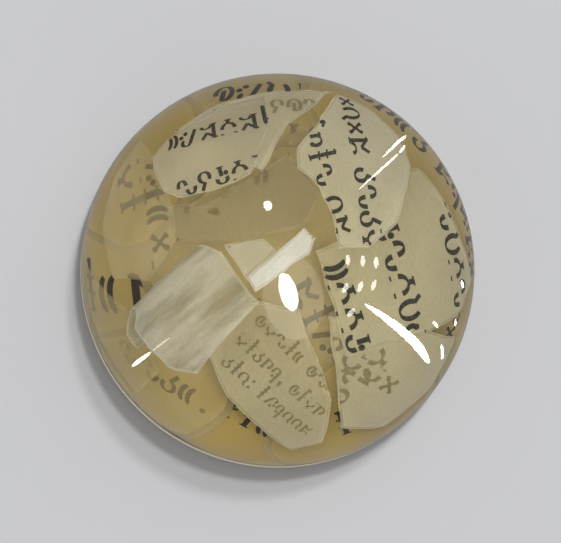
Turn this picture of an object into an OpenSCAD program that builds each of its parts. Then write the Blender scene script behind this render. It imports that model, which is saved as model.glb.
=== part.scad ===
// Cast resin paperweight: a clear amber dome with torn scraps of an old
// printed page laid between its pours. The dome is cast upside down, so the
// crown is the first pour and the base is the last.
// Origin: middle of the resting face, +Z up. Millimetres.

/* [Dome] */
// Diameter of the finished dome
dome_d = 45; // [37:0.5:60]
// Height of the straight band at the foot
band_h = 2; // [1:0.5:4]
// Radius of the rubbed-down edge round the resting face
foot_r = 0.8; // [0.3:0.1:1]

/* [Pours] */
// Depth of the last pour, under the floor scraps
base_h = 3; // [2:0.5:4]
// Depth of the pour over the floor scraps
floor_h = 1.5; // [1:0.5:3]
// Depth of the pour over the low scraps
lower_h = 3; // [2:0.5:4]
// Depth of the pour over the upper scraps
upper_h = 3; // [2:0.5:4]

/* [Paper] */
// Thickness of the book paper
paper_t = 0.12; // [0.08:0.01:0.2]
// Clear resin between the paper and the outside of the dome
skin_t = 1.5; // [1:0.1:2.5]

/* [Curled scrap] */
// Outside diameter of the rolled edge
roll_d = 3.6; // [2.5:0.1:4.5]
// Clear resin under the rolled edge
roll_gap = 0.4; // [0.2:0.1:1]
// Turn of the roll about the upright axis
roll_turn = 40; // [0:5:90]

/* [Hidden] */
$fn = 96;

dome_r = dome_d / 2;
paper_r = dome_r - skin_t; // reach of the paper
cut = 0.5;                 // overshoot of cutting shapes

// Heights of the faces between the pours
middle_h = roll_d + roll_gap;
floor_z = base_h;
low_z = floor_z + floor_h;
mid_z = low_z + lower_h;
high_z = mid_z + middle_h;
crown_z = high_z + upper_h;
top_z = band_h + dome_r;

// Torn outlines seen from above, in hundredths of the paper's reach
STRIP = [[-21, -12], [6, 11], [12, 6], [9, -2], [-16, -20]];
SQUARE = [[-31, 3], [-11, 7], [-5, 0], [-20, -14]];
LEFT_PRINT = [[-66, 48], [-60, 56], [-34, 72], [-10, 78], [-7, 62],
              [-10, 46], [-15, 34], [-31, 27], [-48, 24], [-57, 28],
              [-64, 40]];
RIGHT_PRINT = [[25, 83], [11, 58], [3, 47], [3, 37], [12, 29], [18, 17],
               [21, 2], [36, 3], [48, 14], [58, 42], [56, 58], [40, 76]];
TOP = [[-56, 60], [-36, 74], [-7, 81], [23, 84], [14, 70], [1, 57],
       [-7, 41], [-11, 34], [-24, 46]];
CURL = [[-75, -36], [-66, -8], [-40, 8], [-28, 2], [-12, -20],
        [-30, -40], [-43, -57], [-58, -55], [-69, -44]];
PALE_LEFT = [[-88, 16], [-84, 44], [-70, 62], [-54, 42], [-46, 25],
             [-43, 8], [-56, -10], [-78, -10]];
LARGE_PRINT = [[12, 6], [25, -36], [47, -30], [61, -27], [79, -19],
               [89, -5], [77, 12], [67, 28], [55, 41], [44, 38],
               [37, 16], [22, 10]];
MIDDLE = [[-45, 24], [-41, 8], [-14, 8], [9, 14], [17, 28], [3, 44],
          [-9, 36], [-27, 25]];
FINE_PRINT = [[-31, -34], [-23, -54], [4, -86], [20, -79], [22, -54],
              [14, -32], [7, -15], [-14, -11]];
LOWER_RIGHT = [[17, -18], [25, -70], [49, -76], [73, -58], [80, -30],
               [46, -20]];
LOWER_LEFT = [[-96, 2], [-74, -12], [-54, -24], [-50, -46], [-70, -66],
              [-99, -30]];
FLOOR_LEFT = [[-99, 6], [-99, -40], [-66, -48], [-50, -30], [-51, -9],
              [-46, 10], [-60, 17], [-84, 24]];
FLOOR_UPPER_LEFT = [[-90, 26], [-80, 60], [-54, 78], [-40, 60],
                    [-44, 28], [-57, 14]];
FLOOR_TOP = [[-52, 66], [-32, 92], [0, 99], [30, 92], [20, 62],
             [5, 46], [-8, 36], [-30, 46]];
FLOOR_UPPER_RIGHT = [[24, 94], [52, 84], [78, 60], [96, 28], [88, 8],
                     [63, 4], [43, 26], [28, 45], [18, 66]];
FLOOR_RIGHT = [[98, 10], [96, -30], [73, -60], [46, -40], [42, -8],
               [62, 2]];
FLOOR_LOWER_RIGHT = [[69, -58], [60, -80], [30, -96], [10, -99],
                     [4, -80], [8, -58], [30, -38], [48, -42]];
FLOOR_BOTTOM = [[-50, -64], [-27, -54], [2, -78], [4, -99], [-34, -96]];
FLOOR_LOWER_LEFT = [[-90, -42], [-76, -66], [-50, -76], [-28, -54],
                    [-24, -34], [-42, -28], [-62, -36]];
FLOOR_CENTRE = [[-40, 2], [-12, 24], [8, 34], [30, 18], [36, -26],
                [8, -38], [-18, -30]];
// Middle of the rolled edge, in the same hundredths
ROLL_AT = [-47, -15];

// Solid with the dome's shape: a straight band under half a ball
module dome_of(r) {
    cylinder(r = r, h = band_h);
    intersection() {
        translate([0, 0, band_h]) sphere(r = r);
        translate([0, 0, band_h]) cylinder(r = r + cut, h = r + cut);
    }
}

// What the rubbing-down takes off the edge round the resting face
module foot_edge() {
    rotate_extrude() difference() {
        translate([dome_r - foot_r, -cut])
            square([foot_r + cut, foot_r + cut]);
        translate([dome_r - foot_r, foot_r]) circle(r = foot_r);
    }
}

// Resin between two heights
module pour(z0, z1) {
    intersection() {
        dome_of(dome_r);
        translate([0, 0, z0]) cylinder(r = dome_r + cut, h = z1 - z0);
    }
}

// Upright prism over a torn outline
module prism(outline, z, h) {
    translate([0, 0, z]) linear_extrude(height = h)
        scale(paper_r / 100) polygon(outline);
}

// Flat scrap that lies on the face at height z
module scrap_on(outline, z) {
    intersection() {
        prism(outline, z, paper_t);
        dome_of(paper_r);
    }
}

// Flat scrap pressed into the pour below the face at height z
module scrap_under(outline, z) {
    scrap_on(outline, z - paper_t);
}

module narrow_strip() { color("#beb99f") scrap_on(STRIP, crown_z); }
module square_scrap() { color("#b5a97e") scrap_under(SQUARE, crown_z); }

module left_print_scrap() {
    color("#b9a97c") scrap_on(LEFT_PRINT, high_z);
}
module right_print_scrap() {
    color("#bcae86") scrap_under(RIGHT_PRINT, high_z);
}
module top_scrap() { color("#ab9f7a") scrap_under(TOP, high_z); }

// Sheet lying flat with its outer edge rolled under
module curled_scrap() {
    roll_r = roll_d / 2;
    color("#c2b591") intersection() {
        prism(CURL, mid_z, middle_h);
        dome_of(paper_r);
        translate([ROLL_AT.x, ROLL_AT.y, 0] * paper_r / 100)
            rotate([0, 0, roll_turn])
            translate([0, 0, high_z - roll_r])
            rotate([90, 0, 90])
            linear_extrude(height = paper_r, center = true) {
                translate([-paper_r, roll_r - paper_t])
                    square([paper_r, paper_t]);
                difference() {
                    circle(r = roll_r);
                    circle(r = roll_r - paper_t);
                    polygon([[0, 0], [0, roll_d], [-roll_d, roll_d],
                             [-roll_d, -roll_r]]);
                }
            }
    }
}

module pale_left_scrap() { color("#b7a87b") scrap_on(PALE_LEFT, mid_z); }

module large_print_scrap() {
    color("#afa685") scrap_on(LARGE_PRINT, low_z);
}
module middle_scrap() { color("#a5966b") scrap_on(MIDDLE, low_z); }
module fine_print_scrap() {
    color("#a7986e") scrap_under(FINE_PRINT, low_z);
}
module lower_right_scrap() {
    color("#a89b6d") scrap_under(LOWER_RIGHT, low_z);
}
module lower_left_scrap() {
    color("#a7945f") scrap_under(LOWER_LEFT, low_z);
}

module floor_left_scrap() {
    color("#a9955f") scrap_under(FLOOR_LEFT, floor_z);
}
module floor_top_scrap() {
    color("#9a8a5e") scrap_under(FLOOR_TOP, floor_z);
}
module floor_right_scrap() {
    color("#9c8a58") scrap_under(FLOOR_RIGHT, floor_z);
}
module floor_bottom_scrap() {
    color("#9c8747") scrap_under(FLOOR_BOTTOM, floor_z);
}
module floor_upper_left_scrap() {
    color("#a08e64") scrap_on(FLOOR_UPPER_LEFT, floor_z);
}
module floor_upper_right_scrap() {
    color("#a39468") scrap_on(FLOOR_UPPER_RIGHT, floor_z);
}
module floor_lower_right_scrap() {
    color("#a1904f") scrap_on(FLOOR_LOWER_RIGHT, floor_z);
}
module floor_lower_left_scrap() {
    color("#a59257") scrap_on(FLOOR_LOWER_LEFT, floor_z);
}
module floor_centre_scrap() {
    color("#a49468") scrap_on(FLOOR_CENTRE, floor_z);
}

// Scraps that lie at each face between two pours
module at_crown() {
    narrow_strip();
    square_scrap();
}
module at_high() {
    left_print_scrap();
    right_print_scrap();
    curled_scrap();
    top_scrap();
}
module at_mid() { pale_left_scrap(); }
module at_low() {
    large_print_scrap();
    middle_scrap();
    fine_print_scrap();
    lower_right_scrap();
    lower_left_scrap();
}
module at_floor() {
    floor_left_scrap();
    floor_top_scrap();
    floor_right_scrap();
    floor_bottom_scrap();
    floor_upper_left_scrap();
    floor_upper_right_scrap();
    floor_lower_right_scrap();
    floor_lower_left_scrap();
    floor_centre_scrap();
}

module crown_pour() {
    color("#e9dcae") difference() {
        pour(crown_z, top_z);
        at_crown();
    }
}

module upper_pour() {
    color("#e7d9a6") difference() {
        pour(high_z, crown_z);
        at_high();
        at_crown();
    }
}

module middle_pour() {
    color("#e4d59c") difference() {
        pour(mid_z, high_z);
        at_mid();
        at_high();
    }
}

module lower_pour() {
    color("#e1d193") difference() {
        pour(low_z, mid_z);
        at_low();
        at_mid();
    }
}

module floor_pour() {
    color("#decd8a") difference() {
        pour(floor_z, low_z);
        at_floor();
        at_low();
    }
}

module base_pour() {
    color("#dbc981") difference() {
        pour(0, floor_z);
        foot_edge();
        at_floor();
    }
}

crown_pour();
upper_pour();
middle_pour();
lower_pour();
floor_pour();
base_pour();
narrow_strip();
square_scrap();
left_print_scrap();
right_print_scrap();
curled_scrap();
top_scrap();
pale_left_scrap();
large_print_scrap();
middle_scrap();
fine_print_scrap();
lower_right_scrap();
lower_left_scrap();
floor_left_scrap();
floor_upper_left_scrap();
floor_top_scrap();
floor_upper_right_scrap();
floor_right_scrap();
floor_lower_right_scrap();
floor_bottom_scrap();
floor_lower_left_scrap();
floor_centre_scrap();
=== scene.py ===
# %% [markdown]
# # A resin dome with torn print inside
#
# The object is a half ball of clear, slightly yellowed resin that was cast
# upside down in a mould, one pour on another. Torn scraps of an old book
# page were laid between the pours. This lesson loads the engineering model
# as a fixed frame, then gives it its looks: one clear dome in place of the
# six pours, and a thin, wavy, torn sheet with real printed marks on it in
# place of each flat scrap. Everything is in metres, in the frame's own
# place: the dome rests on z = 0 and its axis is the Z axis.

# %% Load the frame
import math
import random

import bmesh
import bpy
from mathutils import Matrix, Vector, noise
from mathutils.bvhtree import BVHTree
from mathutils.kdtree import KDTree


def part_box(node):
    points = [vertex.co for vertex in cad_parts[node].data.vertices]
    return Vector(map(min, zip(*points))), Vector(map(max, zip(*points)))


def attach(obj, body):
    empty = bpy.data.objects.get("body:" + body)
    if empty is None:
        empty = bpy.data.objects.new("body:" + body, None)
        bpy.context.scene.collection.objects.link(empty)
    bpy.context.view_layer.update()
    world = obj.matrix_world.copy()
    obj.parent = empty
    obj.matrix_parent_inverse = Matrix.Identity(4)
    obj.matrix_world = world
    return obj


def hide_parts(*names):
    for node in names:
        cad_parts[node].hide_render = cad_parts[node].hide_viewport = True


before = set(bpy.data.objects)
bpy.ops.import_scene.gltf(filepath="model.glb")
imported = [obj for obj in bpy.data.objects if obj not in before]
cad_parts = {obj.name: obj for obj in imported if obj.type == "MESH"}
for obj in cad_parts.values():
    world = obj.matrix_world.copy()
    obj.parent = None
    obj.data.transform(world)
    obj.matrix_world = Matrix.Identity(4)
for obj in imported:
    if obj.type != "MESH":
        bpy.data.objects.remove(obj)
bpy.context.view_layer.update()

MM = 0.001
MERGE_DIST = 1e-6             # vertices nearer than this are one

# %% [markdown]
# ## Sizes that the frame gives
#
# The dome's radius, and the height at which its straight foot band ends and
# the ball begins, come from the boxes of the base pour and the crown pour.
# So the looks follow the frame if it changes; only the round at the foot is
# given here, because no box shows it.

# %% Read the dome's sizes
base_low, base_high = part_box("base_pour")
crown_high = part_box("crown_pour")[1]
dome_r = (base_high.x - base_low.x) / 2
ball_z = crown_high.z - dome_r
foot_r = 0.8 * MM
print("dome radius", dome_r, "ball starts at", ball_z)

# %% [markdown]
# ## The camera
#
# A short tele lens from almost straight above, tipped ten degrees towards
# the lower left, so that a sliver of the foot band shows on that side. The
# lens is worked out from how much of the view's width the dome fills.

# %% Place the camera
TIP = math.radians(10)
TIP_TOWARDS = math.radians(237)
CAMERA_REACH = 0.30
DOME_SHARE = 0.7023           # the dome's width over the view's width
SENSOR = 36.0
SHIFT = (0.0053, -0.0018)     # the dome lies a little off the view's middle
NEAREST = 0.01

camera_data = bpy.data.cameras.new("camera")
camera = bpy.data.objects.new("camera", camera_data)
bpy.context.scene.collection.objects.link(camera)
to_camera = Vector((math.sin(TIP) * math.cos(TIP_TOWARDS),
                    math.sin(TIP) * math.sin(TIP_TOWARDS),
                    math.cos(TIP)))
ball_middle = Vector((0, 0, ball_z))
camera.location = ball_middle + to_camera * CAMERA_REACH
side = Vector((0, 1, 0)).cross(to_camera).normalized()
above = to_camera.cross(side)
camera.rotation_euler = Matrix((side, above, to_camera)).transposed().to_euler()
half_angle = math.asin(dome_r / CAMERA_REACH)
camera_data.sensor_width = SENSOR
camera_data.lens = SENSOR * DOME_SHARE / 2 / math.tan(half_angle)
camera_data.shift_x, camera_data.shift_y = SHIFT
camera_data.clip_start = NEAREST
bpy.context.scene.camera = camera
print("lens", round(camera_data.lens, 1), "mm")

# %% [markdown]
# ## Helpers for nodes
#
# Every material here is built from nodes that read the piece's own Object
# coordinates, in metres. These helpers add a node, link it and place a
# noise pattern of a given grain size, so each material stays short.

# %% Node helpers
def new_material(name):
    """A material with a Principled shader; returns it, its tree and shader"""
    material = bpy.data.materials.new(name)
    material.use_nodes = True
    tree = material.node_tree
    return material, tree, tree.nodes["Principled BSDF"]


def coordinates(tree):
    return tree.nodes.new("ShaderNodeTexCoord").outputs["Object"]


def grain(tree, where, size, detail=3.0, stretch=None, seed=0.0):
    """Noise whose blotches are about size metres across"""
    place = tree.nodes.new("ShaderNodeMapping")
    place.inputs["Location"].default_value = (seed, seed * 0.7, seed * 1.3)
    if stretch:
        place.inputs["Scale"].default_value = stretch
    tree.links.new(where, place.inputs["Vector"])
    pattern = tree.nodes.new("ShaderNodeTexNoise")
    pattern.inputs["Scale"].default_value = 1.0 / size
    pattern.inputs["Detail"].default_value = detail
    tree.links.new(place.outputs["Vector"], pattern.inputs["Vector"])
    return pattern.outputs["Fac"]


def ramp(tree, value, low, high, start=0.3, end=0.7):
    """Colours from low to high as value goes from start to end"""
    node = tree.nodes.new("ShaderNodeValToRGB")
    node.color_ramp.elements[0].position = start
    node.color_ramp.elements[0].color = (*low, 1.0)
    node.color_ramp.elements[1].position = end
    node.color_ramp.elements[1].color = (*high, 1.0)
    tree.links.new(value, node.inputs["Fac"])
    return node.outputs["Color"]


def blend_colours(tree, amount, first, second, how="MIX"):
    """Mix two colours; amount is a number or a socket"""
    node = tree.nodes.new("ShaderNodeMix")
    node.data_type = "RGBA"
    node.blend_type = how
    for socket, given in ((node.inputs[0], amount), (node.inputs[6], first),
                          (node.inputs[7], second)):
        if isinstance(given, (int, float)):
            socket.default_value = given
        elif isinstance(given, tuple):
            socket.default_value = (*given, 1.0)
        else:
            tree.links.new(given, socket)
    return node.outputs[2]


def bump(tree, shader, height, distance, strength=1.0):
    node = tree.nodes.new("ShaderNodeBump")
    node.inputs["Strength"].default_value = strength
    node.inputs["Distance"].default_value = distance
    tree.links.new(height, node.inputs["Height"])
    tree.links.new(node.outputs["Normal"], shader.inputs["Normal"])


def scale_to(tree, value, low, high):
    """Stretch a 0 to 1 value to the span from low to high"""
    node = tree.nodes.new("ShaderNodeMapRange")
    node.inputs["To Min"].default_value = low
    node.inputs["To Max"].default_value = high
    tree.links.new(value, node.inputs["Value"])
    return node.outputs["Result"]


# %% [markdown]
# ## The surface
#
# The dome lies on a plain pale grey sheet. One grid face is enough for it,
# because its slight grain is only a bump. It lies a hair below the dome's
# foot, so the two never share a plane, and the dome doesn't mirror it, so
# that lamps close to the horizon can show near the dome's rim.

# %% Pale surface
SURFACE_HALF = 1.5
SURFACE_DROP = 0.02 * MM
DARKER_GREY = (0.308, 0.309, 0.317)
PALER_GREY = (0.323, 0.323, 0.330)


def make_surface():
    bm = bmesh.new()
    bmesh.ops.create_grid(bm, x_segments=1, y_segments=1, size=SURFACE_HALF)
    bmesh.ops.translate(bm, verts=bm.verts, vec=(0, 0, -SURFACE_DROP))
    mesh = bpy.data.meshes.new("surface")
    bm.to_mesh(mesh)
    bm.free()
    piece = bpy.data.objects.new("surface", mesh)
    bpy.context.scene.collection.objects.link(piece)
    material, tree, shader = new_material("pale surface")
    where = coordinates(tree)
    tone = ramp(tree, grain(tree, where, 0.12), DARKER_GREY, PALER_GREY)
    tree.links.new(tone, shader.inputs["Base Color"])
    shader.inputs["Roughness"].default_value = 0.75
    shader.inputs["Specular IOR Level"].default_value = 0.2
    bump(tree, shader, grain(tree, where, 0.6 * MM), 0.02 * MM, 0.4)
    mesh.materials.append(material)
    piece.visible_glossy = False


make_surface()
print("surface:", 2 * SURFACE_HALF, "m across")

# %% [markdown]
# ## The room
#
# The room is an even, soft light. A world shader gives it, brighter above
# the horizon than below, because it costs nothing and adds no noise.

# %% Room light
ROOM_STRENGTH = 0.81
# brightness of the room from straight down, over the horizon, to straight up
ROOM_TONES = ((0.0, 0.34), (0.40, 0.40), (0.49, 0.60), (0.53, 0.88), (1.0, 1.0))


def make_room():
    world = bpy.data.worlds.new("room")
    world.use_nodes = True
    tree = world.node_tree
    split = tree.nodes.new("ShaderNodeSeparateXYZ")
    tree.links.new(tree.nodes.new("ShaderNodeTexCoord").outputs["Generated"],
                   split.inputs[0])
    height = tree.nodes.new("ShaderNodeMapRange")
    height.inputs["From Min"].default_value = -1.0
    tree.links.new(split.outputs["Z"], height.inputs["Value"])
    tones = tree.nodes.new("ShaderNodeValToRGB")
    while len(tones.color_ramp.elements) < len(ROOM_TONES):
        tones.color_ramp.elements.new(0.5)
    for stop, (place, tone) in zip(tones.color_ramp.elements, ROOM_TONES):
        stop.position = place
        stop.color = (0.97 * tone, 0.98 * tone, tone, 1.0)
    tree.links.new(height.outputs["Result"], tones.inputs["Fac"])
    shader = tree.nodes["Background"]
    tree.links.new(tones.outputs["Color"], shader.inputs["Color"])
    shader.inputs["Strength"].default_value = ROOM_STRENGTH
    bpy.context.scene.world = world


make_room()
print("room: tones at", len(ROOM_TONES), "heights")

# %% [markdown]
# ## Lamps
#
# The lamps that cast the shadow stand to the upper right, so it falls to the
# lower left, and two of them give it its dark and its pale part. Every lamp
# is placed by two directions seen from the dome, its start and its end. Each
# lamp has one job only: a small bright lamp that diffuse rays find through a
# curved clear body gives nothing but noise.

# %% Lamps that light
LAMP_REACH = 1.5
SHORTEST_LAMP = 0.001


def direction(zenith, azimuth):
    """Unit vector from degrees off the Z axis and degrees round it"""
    z, a = math.radians(zenith), math.radians(azimuth)
    return Vector((math.sin(z) * math.cos(a), math.sin(z) * math.sin(a),
                   math.cos(z)))


def lamp(name, start, end, width, radiance, job):
    """A flat oval lamp between two directions, its width in radians

    The job is shine for a lamp that only shows as a reflection, shade for
    one that only lights the surface, and fill for one that lights all but
    isn't mirrored.
    """
    first, last = direction(*start), direction(*end)
    middle = (first + last) / 2
    length = max((last - first).length, SHORTEST_LAMP)
    data = bpy.data.lights.new(name, "AREA")
    data.shape = "ELLIPSE"
    data.size = width * middle.length * LAMP_REACH
    data.size_y = length * LAMP_REACH
    data.energy = radiance * math.pi * math.pi / 4 * data.size * data.size_y
    piece = bpy.data.objects.new(name, data)
    outward = middle.normalized()
    along = (last - first).normalized()
    piece.location = ball_middle + middle * LAMP_REACH
    axes = Matrix((along.cross(outward), along, outward)).transposed()
    piece.rotation_euler = axes.to_euler()
    piece.visible_glossy = job == "shine"
    piece.visible_diffuse = job != "shine"
    piece.visible_transmission = job == "fill"
    bpy.context.scene.collection.objects.link(piece)


lamp("wall of light", (8, 60), (58, 60), 0.85, 0.8, "fill")
lamp("near shade lamp", (15, 61), (20, 61), 0.085, 325.0, "shade")
lamp("far shade lamp", (25, 61), (31, 61), 0.10, 178.0, "shade")
bpy.context.scene.view_settings.view_transform = "Standard"
print("lamps that light:", len(bpy.data.lights))

# %% [markdown]
# ## Lamps that only shine
#
# A clear dome shows its shape mostly through reflections: a tall window at
# the lower right, long tubes, an oval lamp with a glow round it, and the
# small lamps of a ceiling, a flat and even grid that the ball bends.
# Some are partly below the surface, so their streaks run on down the side.

# %% Lamps that show as reflections
SHINES = (
    # name, start, end, width, radiance
    ("oval lamp", (10.5, 256), (31, 278), 0.165, 26.0),
    ("glow round the oval lamp", (0, 262), (48, 280), 0.60, 1.6),
    ("round lamp", (27.5, 111), (33.5, 109), 0.082, 22.0),
    ("window", (52, 332), (123, 335.5), 0.062, 30.0),
    ("long tube", (57, 44), (103, 45), 0.015, 16.0),
    ("long tube, far end", (104, 45), (116, 46), 0.014, 8.0),
    ("second tube", (89, 47.6), (127, 48.2), 0.013, 14.0),
    ("left tube", (105, 212.3), (129, 211), 0.024, 16.0),
    ("left tube, faint end", (86, 213), (103, 212.4), 0.014, 7.0),
)
for shine in SHINES:
    lamp(*shine, "shine")

CEILING_COLUMNS = (0.69, 0.955, 1.28)   # over the height of the ceiling
CEILING_ROWS = (-0.02, -0.34)
CEILING_REACH = 1.4                     # half a lamp's length, in degrees
CEILING_WIDTH = 0.10
for row in CEILING_ROWS:
    for column in CEILING_COLUMNS:
        zenith = math.degrees(math.atan(math.hypot(column, row)))
        azimuth = math.degrees(math.atan2(row, column))
        lamp("ceiling lamp", (zenith - CEILING_REACH, azimuth),
             (zenith + CEILING_REACH, azimuth), CEILING_WIDTH, 14.0, "shine")
lamp("ceiling lamp", (47.5, 322), (50.5, 322), CEILING_WIDTH, 12.0, "shine")
for zenith, azimuth, reach in ((130, 4, 3), (109, 345, 4), (132, 353, 2),
                               (131, 343, 6)):
    lamp("low lamp", (zenith - reach, azimuth), (zenith + reach, azimuth),
         0.02, 12.0, "shine")
print("lamps in all:", len(bpy.data.lights))

# %% [markdown]
# ## The clear dome
#
# Resin poured on resin of the same kind leaves no visible joint, so one
# closed solid stands for all six pours. Its half outline is a chain of
# edges: a flat bottom, a quarter arc for the rubbed-down foot edge, the
# straight band and a quarter circle up to the pole. Turning the chain once
# round the Z axis makes the solid. A high step count matters here, because
# every facet of a clear body bends the light behind it.

# %% Spin the dome
ARC_STEPS = 96
FOOT_STEPS = 8
TURN_STEPS = 224
BOTTOM_RINGS = (0, 0.5, 0.9, 0.99, 1)   # as shares of the flat's radius


def quarter_arc(bm, start, middle, steps):
    """Turn one vertex a quarter turn, from level outwards to straight up"""
    turned = bmesh.ops.spin(bm, geom=[start], cent=middle, axis=(0, -1, 0),
                            angle=math.pi / 2, steps=steps)
    return [v for v in turned["geom_last"]
            if isinstance(v, bmesh.types.BMVert)][0]


def make_dome():
    bm = bmesh.new()
    inner = dome_r - foot_r
    flat = [bm.verts.new((inner * share, 0, 0)) for share in BOTTOM_RINGS]
    for first, second in zip(flat, flat[1:]):
        bm.edges.new((first, second))
    foot_top = quarter_arc(bm, flat[-1], (inner, 0, foot_r), FOOT_STEPS)
    band_top = bm.verts.new((dome_r, 0, ball_z))
    bm.edges.new((foot_top, band_top))
    pole = quarter_arc(bm, band_top, (0, 0, ball_z), ARC_STEPS)
    pole.co = (0, 0, ball_z + dome_r)
    bmesh.ops.spin(bm, geom=bm.verts[:] + bm.edges[:], cent=(0, 0, 0),
                   axis=(0, 0, 1), angle=2 * math.pi, steps=TURN_STEPS,
                   use_merge=True)
    bmesh.ops.remove_doubles(bm, verts=bm.verts, dist=MERGE_DIST)
    bmesh.ops.recalc_face_normals(bm, faces=bm.faces)
    mesh = bpy.data.meshes.new("resin_dome")
    bm.to_mesh(mesh)
    print("dome:", len(bm.faces), "faces, open edges:",
          sum(e.is_boundary for e in bm.edges))
    bm.free()
    mesh.shade_smooth()
    piece = bpy.data.objects.new("resin_dome", mesh)
    bpy.context.scene.collection.objects.link(piece)
    return piece


dome = make_dome()

# %% [markdown]
# ## The resin
#
# Old casting resin is clear but yellowed. The surface is a polished
# Principled shader that lets all light through and bends it by 1.52, and
# the yellow is in the body: a Volume Absorption that takes most from blue,
# so paper near the surface stays pale and paper at the bottom turns gold.
# A very shallow, broad bump keeps the reflections from looking machined. The
# foot was sanded and left matt, and its pale cream colour is painted rim
# light, standing for the bright line that light inside the dome gives there.

# %% Resin materials
RESIN_IOR = 1.52
RESIN_COLOUR = (0.84, 0.74, 0.30, 1.0)
RESIN_DENSITY = 27.0
RUBBED_RIM_LIGHT_FROM = 0.02 * MM       # the flat underside stays clear
RUBBED_RIM_LIGHT_TO = 2.8 * MM          # height that the sanding reached at the foot
# The two cream tones of the foot band are painted rim light on a matt, sanded
# band.
RUBBED_RIM_LIGHT_DARK = (0.86, 0.72, 0.46)
RUBBED_RIM_LIGHT_PALE = (0.96, 0.84, 0.60)


def fill_with_resin(tree):
    """The yellow body colour, the same under every surface of the dome"""
    body = tree.nodes.new("ShaderNodeVolumeAbsorption")
    body.inputs["Color"].default_value = RESIN_COLOUR
    body.inputs["Density"].default_value = RESIN_DENSITY
    output = tree.nodes["Material Output"]
    tree.links.new(body.outputs["Volume"], output.inputs["Volume"])


def make_resin():
    material, tree, shader = new_material("amber resin")
    shader.inputs["Base Color"].default_value = (1.0, 1.0, 1.0, 1.0)
    shader.inputs["Transmission Weight"].default_value = 1.0
    shader.inputs["IOR"].default_value = RESIN_IOR
    shader.inputs["Roughness"].default_value = 0.0
    where = coordinates(tree)
    bump(tree, shader, grain(tree, where, 5 * MM, 1.0), 0.02 * MM, 0.6)
    fill_with_resin(tree)
    return material


def make_rubbed_resin_with_rim_light():
    """The foot, sanded flat on paper soaked with water and left matt; its pale
    cream colour is painted rim light
    """
    material, tree, shader = new_material("rubbed resin with painted rim light")
    where = coordinates(tree)
    scratches = grain(tree, where, 0.25 * MM, 3.0, stretch=(1, 1, 4))
    # Painted rim light: the scratches vary the band between two pale cream tones.
    tree.links.new(ramp(tree, scratches, RUBBED_RIM_LIGHT_DARK, RUBBED_RIM_LIGHT_PALE),
                   shader.inputs["Base Color"])
    shader.inputs["Transmission Weight"].default_value = 0.15
    shader.inputs["IOR"].default_value = RESIN_IOR
    shader.inputs["Roughness"].default_value = 0.6
    bump(tree, shader, scratches, 0.02 * MM, 0.5)
    fill_with_resin(tree)
    return material


dome.data.materials.append(make_resin())
dome.data.materials.append(make_rubbed_resin_with_rim_light())
# Faces of the foot band get the matt resin with the painted rim light.
for face in dome.data.polygons:
    if RUBBED_RIM_LIGHT_FROM < face.center.z < RUBBED_RIM_LIGHT_TO:
        face.material_index = 1
print("rubbed faces:", sum(f.material_index for f in dome.data.polygons))
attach(dome, "root")
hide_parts("crown_pour", "upper_pour", "middle_pour", "lower_pour",
            "floor_pour", "base_pour")

# %% [markdown]
# ## The paper
#
# The page has yellowed and the resin has soaked into it, which makes it
# darker and a little see-through. The colour is three layers of noise:
# broad stains, a cloudy mottle and fine fibres. On the rolled scrap, light
# streaks along the roll are a painted sheen, standing for the silvery
# reflection of a thin air film between paper and resin. Along a torn edge
# the outer fibres are thin and take up less colour, so the edge is paler.
# How near a point is to the tear is kept on the mesh, as the attribute torn.
# How far the resin soaked in is kept there too, as the attribute
# soak_and_shade; the same darker, yellower tone also paints the shade on
# sheets that lie deep under others.

# %% Paper material
STAIN = 6 * MM                # sizes of the three layers of noise
MOTTLE = 0.9 * MM
FIBRE = 0.16 * MM
# The rolled scrap's light streaks are a painted sheen: the silvery reflection of
# a thin air film between paper and resin.
SHEEN_STREAK = 1.3 * MM             # width of a streak on the rolled scrap
SHEEN_STREAK_DRAWN_OUT = 5.0        # how much longer than wide it is


def read_attribute(tree, name):
    node = tree.nodes.new("ShaderNodeAttribute")
    node.attribute_name = name
    return node.outputs["Fac"]


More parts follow.
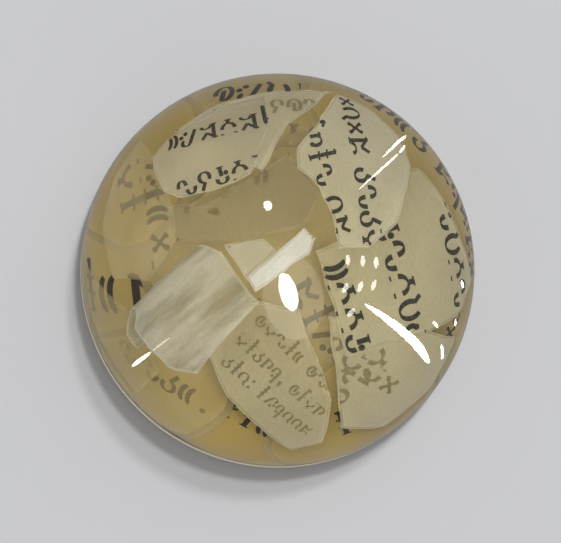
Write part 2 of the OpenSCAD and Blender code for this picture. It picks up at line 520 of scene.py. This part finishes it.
def make_paper(name, light, dark, edge, wet_and_shade, cover, sheen_streak_turn=None):
    """Paper; its soaked colour stands for resin in the paper and for painted
    shade, cover its opacity
    """
    material, tree, shader = new_material(name)
    where = coordinates(tree)
    stain = grain(tree, where, STAIN, 2.0, seed=3.1)
    cloud = grain(tree, where, MOTTLE, 4.0, seed=1.7)
    strands = grain(tree, where, FIBRE, 2.0, stretch=(1, 0.35, 1))
    colour = ramp(tree, stain, dark, light, 0.35, 0.65)
    # Painted sheen: light streaks along the roll, from the dark tone up to the
    # near-white edge tone.
    if sheen_streak_turn is not None:
        turned = tree.nodes.new("ShaderNodeMapping")
        turned.vector_type = "TEXTURE"
        turned.inputs["Rotation"].default_value = (0, 0, sheen_streak_turn)
        turned.inputs["Scale"].default_value = (SHEEN_STREAK_DRAWN_OUT, 1.0, 1.0)
        tree.links.new(where, turned.inputs["Vector"])
        sheen_streaks = grain(tree, turned.outputs["Vector"], SHEEN_STREAK, 4.0)
        colour = blend_colours(tree, scale_to(tree, sheen_streaks, -1.3, 2.6),
                               dark, edge)
    worn = tuple(0.5 * (a + b) for a, b in zip(light, dark))
    colour = blend_colours(tree, scale_to(tree, cloud, 0.0, 0.5), colour,
                           worn)
    flecks = ramp(tree, strands, (0.90,) * 3, (1.0, 1.0, 1.0), 0.3, 0.6)
    colour = blend_colours(tree, 1.0, colour, flecks, "MULTIPLY")
    # The soaked tone is partly resin in the paper and partly painted shade on
    # sheets that lie deep under others.
    colour = blend_colours(tree, read_attribute(tree, "soak_and_shade"), colour, wet_and_shade)
    colour = blend_colours(tree, read_attribute(tree, "torn"), colour, edge)
    tree.links.new(colour, shader.inputs["Base Color"])
    shader.inputs["Roughness"].default_value = 0.8
    shader.inputs["Specular IOR Level"].default_value = 0.05
    shader.inputs["Alpha"].default_value = cover
    bump(tree, shader, strands, 0.03 * MM, 0.5)
    return material


# %% [markdown]
# ## The kinds of paper
#
# All the scraps come from one page, but the resin soaked each one in its own
# way, and the soaked tones also stand for painted shade where sheets lie deep
# under others. Along a tear the paper is only a few fibres thick, so each kind
# also has a fringe that covers less. For each kind stand its light and its dark
# tone, the tone at a tear, the tone when soaked through or shaded, and its
# opacity.

# %% Kinds of paper
FRINGE_COVER = 0.62           # share of the paper's opacity left at a tear
ROLL_TURN = math.radians(40)  # the way the rolled scrap's edge runs


def make_papers(name, light, dark, edge, wet_and_shade, cover):
    """The paper, and its thinner fringe along a tear"""
    look = (light, dark, edge, wet_and_shade)
    return (make_paper(name, *look, cover),
            make_paper(name + " fringe", *look, cover * FRINGE_COVER))


printed_paper = make_papers("printed paper", (0.89, 0.86, 0.72),
                            (0.80, 0.76, 0.61), (0.93, 0.90, 0.77),
                            (0.56, 0.48, 0.31), 0.64)
pale_paper = make_papers("pale paper", (1.0, 1.0, 1.0),
                         (0.96, 0.97, 0.98), (0.98, 0.98, 0.98),
                         (0.60, 0.50, 0.30), 0.95)
# The rolled paper's near-white edge tone is also the painted sheen of its
# streaks.
curl_paper = make_paper("rolled paper", (0.68, 0.64, 0.49),
                        (0.51, 0.47, 0.34), (1.0, 0.99, 0.95),
                        (0.60, 0.50, 0.30), 0.48, ROLL_TURN)
soaked_paper = make_papers("soaked paper", (0.89, 0.80, 0.53),
                           (0.72, 0.62, 0.36), (0.84, 0.72, 0.44),
                           (0.73, 0.55, 0.17), 0.74)
thin_paper = make_papers("thin soaked paper", (0.88, 0.82, 0.62),
                         (0.78, 0.70, 0.50), (0.86, 0.79, 0.58),
                         (0.80, 0.66, 0.36), 0.28)
# Painted shade: this darker paper stands for the shade on the middle scrap under
# the sheets above it.
shaded_soaked_paper = make_papers("shaded soaked paper", (0.72, 0.65, 0.48),
                        (0.60, 0.53, 0.38), (0.74, 0.66, 0.48),
                        (0.56, 0.47, 0.28), 0.50)


# %% [markdown]
# ## The ink
#
# Printing ink sits on the paper as a thin, slightly matt coat, worn where
# the paper's surface was rough. Where a scrap shows its back, or lies under
# a soaked layer, the print is only a faint brown, so there are two inks.

# %% Inks
def make_ink(name, full, worn):
    material, tree, shader = new_material(name)
    where = coordinates(tree)
    patch = grain(tree, where, 0.12 * MM, 2.0, seed=5.0)
    tree.links.new(ramp(tree, patch, full, worn, 0.45, 0.85),
                   shader.inputs["Base Color"])
    shader.inputs["Roughness"].default_value = 0.7
    shader.inputs["Specular IOR Level"].default_value = 0.05
    return material


fresh_ink = make_ink("printing ink", (0.020, 0.017, 0.009),
                     (0.15, 0.12, 0.06))
faint_ink = make_ink("show-through ink", (0.26, 0.22, 0.13),
                     (0.48, 0.42, 0.28))
print("materials:", len(bpy.data.materials))

# %% [markdown]
# ## Printed marks
#
# The page was book print. The marks here are not letters of any alphabet:
# they are invented forms built from the same strokes as book type, thick
# upright stems, thin level hairlines, round bowls and small feet. Each
# stroke is a path that a broad pen follows: an edge as wide as the pen,
# pushed along the path by extrusion, wide where it runs upright and narrow
# where it runs level. The unit is the height of a small letter.

# %% The pen
PEN_THICK = 0.115             # half widths, in small-letter heights
PEN_THIN = 0.04
PEN_SWELL = 1.4               # how late the pen widens as it turns upright
DOT_R = 0.14


def line(x0, y0, x1, y1, steps=5):
    return [Vector((x0 + (x1 - x0) * i / steps, y0 + (y1 - y0) * i / steps))
            for i in range(steps + 1)]


def bow(x, y, rx, ry, start, end, steps=16):
    """Part of an ellipse, from start to end degrees"""
    angles = [math.radians(start + (end - start) * i / steps)
              for i in range(steps + 1)]
    return [Vector((x + rx * math.cos(a), y + ry * math.sin(a)))
            for a in angles]


def pen_stroke(bm, path):
    """Extrude an edge along the path, as wide as the pen is there"""
    edge = None
    for i, point in enumerate(path):
        ahead = path[min(i + 1, len(path) - 1)]
        behind = path[max(i - 1, 0)]
        along = (ahead - behind).normalized()
        half = PEN_THIN + (PEN_THICK - PEN_THIN) * abs(along.y) ** PEN_SWELL
        across = Vector((-along.y, along.x)) * half
        ends = (point + across, point - across)
        if edge is None:
            edge = bm.edges.new([bm.verts.new((*e, 0)) for e in ends])
            continue
        grown = bmesh.ops.extrude_edge_only(bm, edges=[edge])["geom"]
        edge = [g for g in grown if isinstance(g, bmesh.types.BMEdge)][0]
        near = sorted(edge.verts, key=lambda v: (v.co.xy - ends[0]).length)
        near[0].co.xy, near[1].co.xy = ends


def dot(bm, x, y):
    spot = bmesh.ops.create_circle(bm, cap_ends=True, segments=12,
                                   radius=DOT_R)
    bmesh.ops.translate(bm, verts=spot["verts"], vec=(x, y, 0))


# %% [markdown]
# ## The type case
#
# Each form is a width, its strokes and its dots. The points at the end of
# the case are for the ends of words. A form is made once, as a flat mesh,
# and is then copied for each mark, as type is used again and again.

# %% Forms of the invented type
FOOT = 0.2                    # half length of the small feet on stems


def stem(x, low, high, feet="both"):
    """An upright with a thin foot at its lower end, upper end or both"""
    paths = [line(x, low, x, high)]
    if feet in ("both", "low"):
        paths.append(line(x - FOOT, low + 0.03, x + FOOT, low + 0.03, 3))
    if feet in ("both", "high"):
        paths.append(line(x - FOOT, high - 0.06, x, high, 3))
    return paths


FORMS = [
    # width, strokes, dots
    (0.95, stem(0.22, 0.0, 1.0) + [bow(0.5, 0.62, 0.3, 0.34, 170, -30)],
     [(0.70, 0.40)]),
    (0.90, [bow(0.42, 0.5, 0.36, 0.47, 75, 380),
            line(0.44, 0.32, 0.44, 0.98)], []),
    (0.95, [bow(0.34, 0.5, 0.28, 0.47, 110, 255),
            bow(0.70, 0.5, 0.28, 0.47, 110, 255)], []),
    (0.72, stem(0.28, 0.0, 1.55, "low")
     + [line(0.28, 1.5, 0.60, 1.28), line(0.28, 0.55, 0.58, 0.62)], []),
    (0.86, stem(0.62, -0.5, 0.55, "high")
     + [bow(0.34, 0.55, 0.28, 0.40, 0, 215)], [(0.30, 0.12)]),
    (1.10, [line(0.12, 0.05, 0.46, 0.97, 8), bow(0.68, 0.86, 0.24, 0.22,
                                                 150, -60)],
     [(0.72, 0.20), (0.98, 0.42)]),
    (0.80, [bow(0.38, 0.0, 0.30, 0.40, 20, 160),
            bow(0.38, 1.0, 0.30, 0.40, 200, 340)], [(0.38, 0.50)]),
    (1.15, [bow(0.33, 0.62, 0.24, 0.32, 190, 0),
            bow(0.81, 0.38, 0.24, 0.34, 180, 370)], []),
    (0.98, [bow(0.47, 0.64, 0.36, 0.36, 180, 360),
            line(0.0, 0.97, 0.22, 0.97, 3), line(0.74, 0.97, 0.94, 0.97, 3)]
     + stem(0.47, 0.0, 0.30, "low"), []),
    (0.74, stem(0.34, 0.0, 1.5)
     + [line(0.08, 1.05, 0.60, 0.94), line(0.08, 0.60, 0.60, 0.50)], []),
    (1.08, stem(0.22, 0.0, 1.0)
     + [line(0.22, 0.92, 0.62, 0.60), line(0.62, 0.60, 0.92, 0.98),
        bow(0.66, 0.06, 0.30, 0.24, 10, 170)], []),
    (0.95, [bow(0.42, 0.5, 0.36, 0.46, -40, 235),
            line(0.66, 0.24, 0.90, -0.08)], []),
    (0.80, [bow(0.38, 0.3, 0.3, 0.3, 95, -215), line(0.40, 0.58, 0.64, 1.03)],
     []),
    (0.84, [bow(0.40, 0.73, 0.28, 0.24, -20, 200)]
     + stem(0.40, 0.0, 0.55, "low"), [(0.13, 0.42)]),
]
POINTS = [
    (0.50, [bow(0.12, 0.02, 0.16, 0.34, 40, -60, 8)], [(0.20, 0.12)]),
    (0.46, [], [(0.22, 0.12), (0.22, 0.88)]),
    (0.46, [], [(0.22, 0.12)]),
]


def make_form(strokes, dots):
    """One flat mark, facing up"""
    bm = bmesh.new()
    for path in strokes:
        pen_stroke(bm, path)
    for x, y in dots:
        dot(bm, x, y)
    bmesh.ops.recalc_face_normals(bm, faces=bm.faces)
    for face in bm.faces:
        if face.normal.z < 0:
            face.normal_flip()
    mesh = bpy.data.meshes.new("form")
    bm.to_mesh(mesh)
    bm.free()
    return mesh


letters, points = [[(width, make_form(strokes, dots))
                    for width, strokes, dots in tray]
                   for tray in (FORMS, POINTS)]
print("forms in the type case:", len(letters) + len(points))

# %% [markdown]
# ## Setting the lines
#
# A line of print starts at a point on the sheet and runs at an angle. Its
# words are drawn by lot from the type case, always the same ones for the
# same seed. The line is set flat in the sheet's plane first. Later it is
# dropped onto the wavy sheet, and what hangs over the torn edge is cut off,
# as the tear cut the real print.

# %% Set a line
SMALL_LETTER = 2.0 * MM
LETTER_GAP = 0.12
WORD_GAP = 0.55
NO_POINT = 0.6                # share of words that end without a point


def set_line(start, angle, length, seed, size=SMALL_LETTER):
    """Marks along a line, as a flat mesh; start and length are in mm"""
    bm = bmesh.new()
    chance = random.Random(seed)
    reach, left_in_word = 0.0, chance.randint(3, 6)
    place = (Matrix.Translation((start[0] * MM, start[1] * MM, 0))
             @ Matrix.Rotation(math.radians(angle), 4, "Z")
             @ Matrix.Scale(size, 4))
    while reach * size < length * MM:
        width, form = chance.choice(letters if left_in_word else points)
        before = len(bm.verts)
        bm.from_mesh(form)
        bm.verts.ensure_lookup_table()
        bmesh.ops.translate(bm, verts=bm.verts[before:], vec=(reach, 0, 0))
        reach += width + LETTER_GAP
        left_in_word -= 1
        if left_in_word < 0 or (left_in_word == 0 and chance.random() < NO_POINT):
            reach += WORD_GAP
            left_in_word = chance.randint(3, 7)
    bmesh.ops.transform(bm, matrix=place, verts=bm.verts)
    return bm


# %% [markdown]
# ## Torn sheets
#
# Each sheet starts as a copy of its own scrap in the frame. Only the upper
# face is kept. Straight cuts across it in both directions give it a fine
# weave of faces that can bend.

# %% Cut a sheet from a scrap
CELL = 0.30 * MM
FACES_UP = 0.9                # the least upward part of an upper face's normal


def upper_face(node):
    """The top of a scrap's solid as an open sheet"""
    bm = bmesh.new()
    bm.from_mesh(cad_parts[node].data)
    bmesh.ops.remove_doubles(bm, verts=bm.verts, dist=MERGE_DIST)
    away = [f for f in bm.faces if f.normal.z < FACES_UP]
    bmesh.ops.delete(bm, geom=away, context="FACES")
    bmesh.ops.dissolve_limit(bm, verts=bm.verts, edges=bm.edges,
                             angle_limit=math.radians(1))
    return bm


def weave(bm, low, high, cell):
    """Cut the sheet by evenly spaced upright planes in X and Y"""
    for axis in (0, 1):
        normal = Vector((1 - axis, axis, 0))
        count = int((high[axis] - low[axis]) / cell)
        for i in range(1, count + 1):
            at = low + normal * (cell * i)
            bmesh.ops.bisect_plane(bm, geom=bm.verts[:] + bm.edges[:]
                                   + bm.faces[:], dist=1e-7,
                                   plane_co=at, plane_no=normal)


# %% [markdown]
# ## The tear
#
# The rim is moved by noise, broad for the way the tear wanders and fine for
# its fibres, and the paper behind it gives way with it, or faces at the rim
# would fold over. A sheet at the bottom has swelled, so its rim moves outwards.

# %% Tear the rim
TEAR_WANDER = 0.35 * MM
WANDER_SIZE = 1.8 * MM
TEAR_FIBRE = 0.07 * MM
FIBRE_SIZE = 0.5 * MM
TORN_BAND = 0.55 * MM         # how far in the tear's paler tone goes
BAND_SIZE = 3 * MM
TEAR_REACH = 1.6 * MM         # how far in the paper gives way with its rim
SPREAD_MARGIN = 0.35 * MM     # resin left outside a sheet that has spread


def tear(bm, seed, spread):
    """Roughen the rim, and note on each vertex how near the rim it is"""
    torn = bm.verts.layers.float.new("torn")
    inward = {}
    for edge in bm.edges:
        if edge.is_boundary:
            middle = (edge.verts[0].co + edge.verts[1].co) / 2
            pull = edge.link_faces[0].calc_center_median() - middle
            along = (edge.verts[0].co - edge.verts[1].co).normalized()
            pull -= along * pull.dot(along)
            for v in edge.verts:
                inward[v] = inward.get(v, Vector()) + pull.normalized()
    finder = KDTree(len(inward))
    moves = []
    for i, (v, pull) in enumerate(inward.items()):
        at = v.co + Vector((seed, seed, 0)) * MM
        wander = 0.5 + 0.5 * noise.noise(at / WANDER_SIZE)
        fibre = 0.5 + 0.5 * noise.noise(at / FIBRE_SIZE)
        room = max(0.0, dome_r - SPREAD_MARGIN - v.co.xy.length)
        amount = TEAR_WANDER * wander + TEAR_FIBRE * fibre - min(spread, room)
        moves.append(pull.normalized() * amount)
        finder.insert(v.co, i)
    finder.balance()
    for v in bm.verts:
        at = v.co + Vector((seed, 0, seed)) * MM
        band = TORN_BAND * (0.6 + 1.1 * max(0, noise.noise(at / BAND_SIZE)))
        i, gap = finder.find(v.co)[1:]
        v[torn] = max(0.0, 1 - gap / band)
        v.co += moves[i] * max(0.0, 1 - gap / TEAR_REACH)


# %% [markdown]
# ## Waves and ink
#
# Wet paper cockles, so each sheet is waved. Sheets that share a face between
# two pours wave together, or they would cut through one another. Print is
# laid on the waved sheet by rays from above, and raised by an extrusion.

# %% Wave the sheet and lay the ink
WAVE_LENGTH = 7 * MM
RIPPLE = 0.25                 # height of the small waves over the large ones
ABOVE_ALL = 0.1


def wave(bm, level_seed, height):
    """Bend the sheet; sheets on one level share a seed, so they nest"""
    for v in bm.verts:
        at = Vector((v.co.x, v.co.y, 0)) / WAVE_LENGTH
        swell = noise.noise(at + Vector((0, 0, level_seed)))
        ripple = noise.noise(at * 3 + Vector((0, 0, level_seed + 9)))
        v.co.z += height * (swell + RIPPLE * ripple)


def drop_print(ink, sheet_tree, gap):
    """Drop flat print onto the sheet and cut off what misses it"""
    high = Vector((0, 0, 1))
    missed = []
    for v in ink.verts:
        hit = sheet_tree.ray_cast(v.co + high * ABOVE_ALL, -high)[0]
        if hit is None:
            missed.append(v)
        else:
            v.co.z = hit.z + gap
    bmesh.ops.delete(ink, geom=missed, context="VERTS")
    raised = bmesh.ops.extrude_face_region(ink, geom=ink.faces[:])["geom"]
    top = [g for g in raised if isinstance(g, bmesh.types.BMVert)]
    bmesh.ops.translate(ink, verts=top, vec=(0, 0, gap))


# %% [markdown]
# ## A sheet from start to end
#
# The order matters. The thin fringe is an inset of the outline, so it is
# made while the sheet is still one flat face. Then come the weave, the tear
# and the waves, an extrusion downwards for the thickness, and the print.

# %% One printed sheet
SHEET_T = 0.08 * MM
INK_GAP = 0.012 * MM          # the ink's height over the paper, and its depth
FRINGE = 0.28 * MM            # width of the thin paper along a tear
FACE_GAP = 0.02 * MM          # how far the paper lies under the scrap's top
CLEAR_PRINT, FAINT_PRINT, FRINGE_PAPER = 1, 2, 3    # a sheet's material slots
# a seed for the waves of each face between pours, and how high they are
CROWN = (2, 0.10 * MM)
HIGH = (1, 0.22 * MM)
MIDDLE = (3, 0.25 * MM)
LOW = (4, 0.14 * MM)
FLOOR = (5, 0.10 * MM)


def add_print(bm, sheet_tree, lines, ink_number):
    """Drop lines of print onto a sheet and join them to its mesh"""
    for given in lines:
        ink = set_line(*given)
        drop_print(ink, sheet_tree, INK_GAP)
        for face in ink.faces:
            face.material_index = ink_number
        bmesh.ops.recalc_face_normals(ink, faces=ink.faces)
        scratch = bpy.data.meshes.new("print")
        ink.to_mesh(scratch)
        ink.free()
        bm.from_mesh(scratch)
        bpy.data.meshes.remove(scratch)


def finish_sheet(bm, node, materials, soak_and_shade):
    """Turn the mesh into a piece that stands for one scrap"""
    # Each sheet's share of the soaked tone, which is partly painted shade.
    wet_and_shade = bm.verts.layers.float.new("soak_and_shade")
    for v in bm.verts:
        v[wet_and_shade] = soak_and_shade
    mesh = bpy.data.meshes.new(node + "_sheet")
    bm.to_mesh(mesh)
    print(node, len(bm.faces), "faces")
    bm.free()
    for material in materials:
        mesh.materials.append(material)
    piece = bpy.data.objects.new(node + "_sheet", mesh)
    bpy.context.scene.collection.objects.link(piece)
    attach(piece, "root")
    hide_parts(node)


def make_sheet(node, paper, level, soak_and_shade, seed, clear=(), faint=(),
               spread=0.0, drop=FACE_GAP, thickness=SHEET_T):
    """Build the sheet that stands for one flat scrap of the frame"""
    low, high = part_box(node)
    bm = upper_face(node)
    ring = bmesh.ops.inset_region(bm, faces=bm.faces[:], thickness=FRINGE,
                                  use_boundary=True, use_even_offset=True)
    for face in ring["faces"]:
        face.material_index = FRINGE_PAPER
    weave(bm, low, high, CELL)
    tear(bm, seed, spread)
    wave(bm, *level)
    bmesh.ops.translate(bm, verts=bm.verts, vec=(0, 0, -drop))
    sheet_tree = BVHTree.FromBMesh(bm)
    grown = bmesh.ops.extrude_face_region(bm, geom=bm.faces[:])["geom"]
    under = [g for g in grown if isinstance(g, bmesh.types.BMVert)]
    bmesh.ops.translate(bm, verts=under, vec=(0, 0, -thickness))
    bmesh.ops.recalc_face_normals(bm, faces=bm.faces)
    add_print(bm, sheet_tree, clear, CLEAR_PRINT)
    add_print(bm, sheet_tree, faint, FAINT_PRINT)
    finish_sheet(bm, node, (paper[0], fresh_ink, faint_ink, paper[1]),
                 soak_and_shade)


# %% [markdown]
# ## Sheets near the crown
#
# The dome was cast crown first, so the first scraps to go in lie highest: a
# narrow white strip of plain margin, and a small scrap beside it. They have
# no print and little yellow resin over them, so they are the palest.

# %% Sheets near the crown
make_sheet("narrow_strip", pale_paper, CROWN, 0.0, 4)
make_sheet("square_scrap", printed_paper, CROWN, 0.1, 5)

# %% [markdown]
# ## Sheets half way up
#
# The next pour holds the scraps with the clearest print. A line of print is
# given as its start in millimetres, its angle in degrees, its length in
# millimetres, a seed, and the height of its small letters.

# %% Sheets half way up
make_sheet("left_print_scrap", printed_paper, HIGH, 0.50, 1,
           clear=[((-2.3, 9.3), 197, 9.5, 11, 1.7 * MM),
                  ((-1.2, 14.0), 190, 14.0, 12, 1.75 * MM)])
make_sheet("right_print_scrap", printed_paper, HIGH, 0.0, 2,
           clear=[((5.1, 16.6), -84, 14.5, 21, 1.85 * MM),
                  ((0.9, 12.5), -74, 10.5, 22, 1.7 * MM)])
make_sheet("top_scrap", printed_paper, HIGH, 0.40, 3,
           faint=[((3.5, 15.8), 185, 12.0, 31, 1.7 * MM)])
make_sheet("pale_left_scrap", thin_paper, MIDDLE, 0.5,
           6, faint=[((-13.0, 9.0), -82, 10.0, 41, 2.2 * MM)])

# %% [markdown]
# ## Sheets low down
#
# Deeper scraps look larger and yellower through the ball. The largest shows
# three lines of big type, and the others are soaked or show their backs; the
# middle one is painted darker, as painted shade from the sheets above it.

# %% Sheets low down
make_sheet("large_print_scrap", printed_paper, LOW, 0.0, 7,
           clear=[((7.5, -6.6), 108.6, 12.0, 51),
                  ((12.5, -6.0), 108.6, 14.0, 52),
                  ((17.2, -3.0), 106.0, 10.0, 53)])
# The middle scrap's darker paper is painted shade.
make_sheet("middle_scrap", shaded_soaked_paper, LOW, 0.2, 8,
           faint=[((-1.5, 8.6), 200, 7.0, 61)])
make_sheet("fine_print_scrap", printed_paper, LOW, 0.4, 9,
           faint=[((-3.8, -6.2), -44.5, 9.5, 71, 1.0 * MM),
                  ((-5.0, -8.2), -44.5, 10.0, 72, 1.0 * MM),
                  ((-2.2, -4.6), -44.5, 9.0, 73, 1.0 * MM)])
make_sheet("lower_right_scrap", printed_paper, LOW, 0.1, 10,
           faint=[((2.4, -7.0), -32.0, 8.5, 81), ((5.0, -12.0), 46, 6.5, 82)])
make_sheet("lower_left_scrap", thin_paper, LOW, 0.6, 11)

# %% [markdown]
# ## Sheets on the bottom pour
#
# The last scraps are a backing that closes the whole view downwards. They
# soaked up the most resin and swelled until they lapped, so they are spread
# out here past their outlines in the frame. Each lies a little deeper than
# the last, so that no two faces share a plane.

# %% Sheets on the bottom pour
BOTTOM_SHEETS = (
    ("floor_left_scrap", 0.55, [((-19.0, -4.4), 3, 8.0, 91, 3.4 * MM)], []),
    ("floor_upper_left_scrap", 0.80, [((-14.5, 8.5), -72, 5.0, 92, 2.6 * MM)],
     []),
    ("floor_top_scrap", 0.45, [((2.6, 15.4), 178, 8.0, 93)],
     [((4.0, 11.0), 175, 9.0, 94)]),
    ("floor_upper_right_scrap", 0.65,
     [((6.0, 15.6), -46, 14.5, 95), ((15.6, 5.6), -80, 5.0, 96)], []),
    ("floor_right_scrap", 0.55, [((15.4, -6.0), 84, 9.0, 97, 1.6 * MM)], []),
    ("floor_lower_right_scrap", 0.90, [((5.5, -15.0), 22, 5.0, 98)], []),
    ("floor_bottom_scrap", 0.95, [((-6.6, -11.4), -33, 9.0, 99)], []),
    ("floor_lower_left_scrap", 0.45, [], [((-15, -8), -30, 10.0, 100)]),
    ("floor_centre_scrap", 0.20, [], [((-4, -2), -60, 8.0, 101),
                                      ((0.5, -1.5), -62, 6.0, 102)]),
)
BOTTOM_SPREAD = 2.4 * MM      # they swelled and now lap over one another
BOTTOM_T = 0.05 * MM
LAP = 0.008 * MM              # each lies this much deeper than the last
CENTRE_DROP = 0.09 * MM
CENTRE_SPREAD = 3.8 * MM      # it is the one that all the others lap over
FIRST_SEED = 20
for i, (node, soak_and_shade, clear, faint) in enumerate(BOTTOM_SHEETS):
    central = node == "floor_centre_scrap"
    drop = CENTRE_DROP if central else FACE_GAP + i * LAP
    spread = CENTRE_SPREAD if central else BOTTOM_SPREAD
    make_sheet(node, soaked_paper, FLOOR, soak_and_shade,
               FIRST_SEED + i, clear, faint, spread, drop, BOTTOM_T)

# %% [markdown]
# ## The rolled scrap
#
# One scrap is plain and thin, and its outer edge has rolled under. The
# frame's solid already has that shape, so the outer side of it is kept, the
# flat part and the roll, and is cut, torn and thickened as the others are.
# Extrusion along Z would not suit the roll, so the wall here is grown with
# solidify, which follows each face's own direction.

# %% Rolled scrap
ROLL_R = 1.8 * MM
ROLL_AT = (-9.87 * MM, -3.15 * MM)
NEAR_OUTSIDE = 0.97           # share of the roll's radius
CRUMPLE = 0.10 * MM
CRUMPLE_ACROSS = 1.1 * MM
CRUMPLE_ALONG = 7 * MM


def make_rolled_sheet(node, paper, soak_and_shade, seed):
    """Build the sheet that stands for the scrap with a rolled edge"""
    low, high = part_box(node)
    axis = Vector((math.cos(ROLL_TURN), math.sin(ROLL_TURN), 0))
    heart = Vector((*ROLL_AT, high.z - ROLL_R))
    bm = bmesh.new()
    bm.from_mesh(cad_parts[node].data)
    bmesh.ops.remove_doubles(bm, verts=bm.verts, dist=MERGE_DIST)
    away = []
    for face in bm.faces:
        centre = face.calc_center_median() - heart
        centre -= axis * centre.dot(axis)
        rolled = (centre.length > NEAR_OUTSIDE * ROLL_R
                  and face.normal.dot(centre.normalized()) > 0.8)
        flat = face.normal.z > 0.99 and centre.z > 0.99 * ROLL_R
        if not (rolled or flat):
            away.append(face)
    bmesh.ops.delete(bm, geom=away, context="FACES")
    weave(bm, low, high, CELL)
    tear(bm, seed, 0.0)
    for v in bm.verts:
        across = (v.co - heart).dot(axis.cross(Vector((0, 0, 1))))
        crumple = noise.noise(Vector((across / CRUMPLE_ACROSS, seed,
                                      v.co.dot(axis) / CRUMPLE_ALONG)))
        v.co.z += CRUMPLE * (crumple - 1)
    bmesh.ops.solidify(bm, geom=bm.faces[:], thickness=SHEET_T)
    bmesh.ops.recalc_face_normals(bm, faces=bm.faces)
    finish_sheet(bm, node, (paper,), soak_and_shade)


make_rolled_sheet("curled_scrap", curl_paper, 0.0, 30)

# %% [markdown]
# ## Finish
#
# The type case isn't needed any more. The looks have to stay inside the
# frame's own size.

# %% Finish
for _, form in letters + points:
    bpy.data.meshes.remove(form)
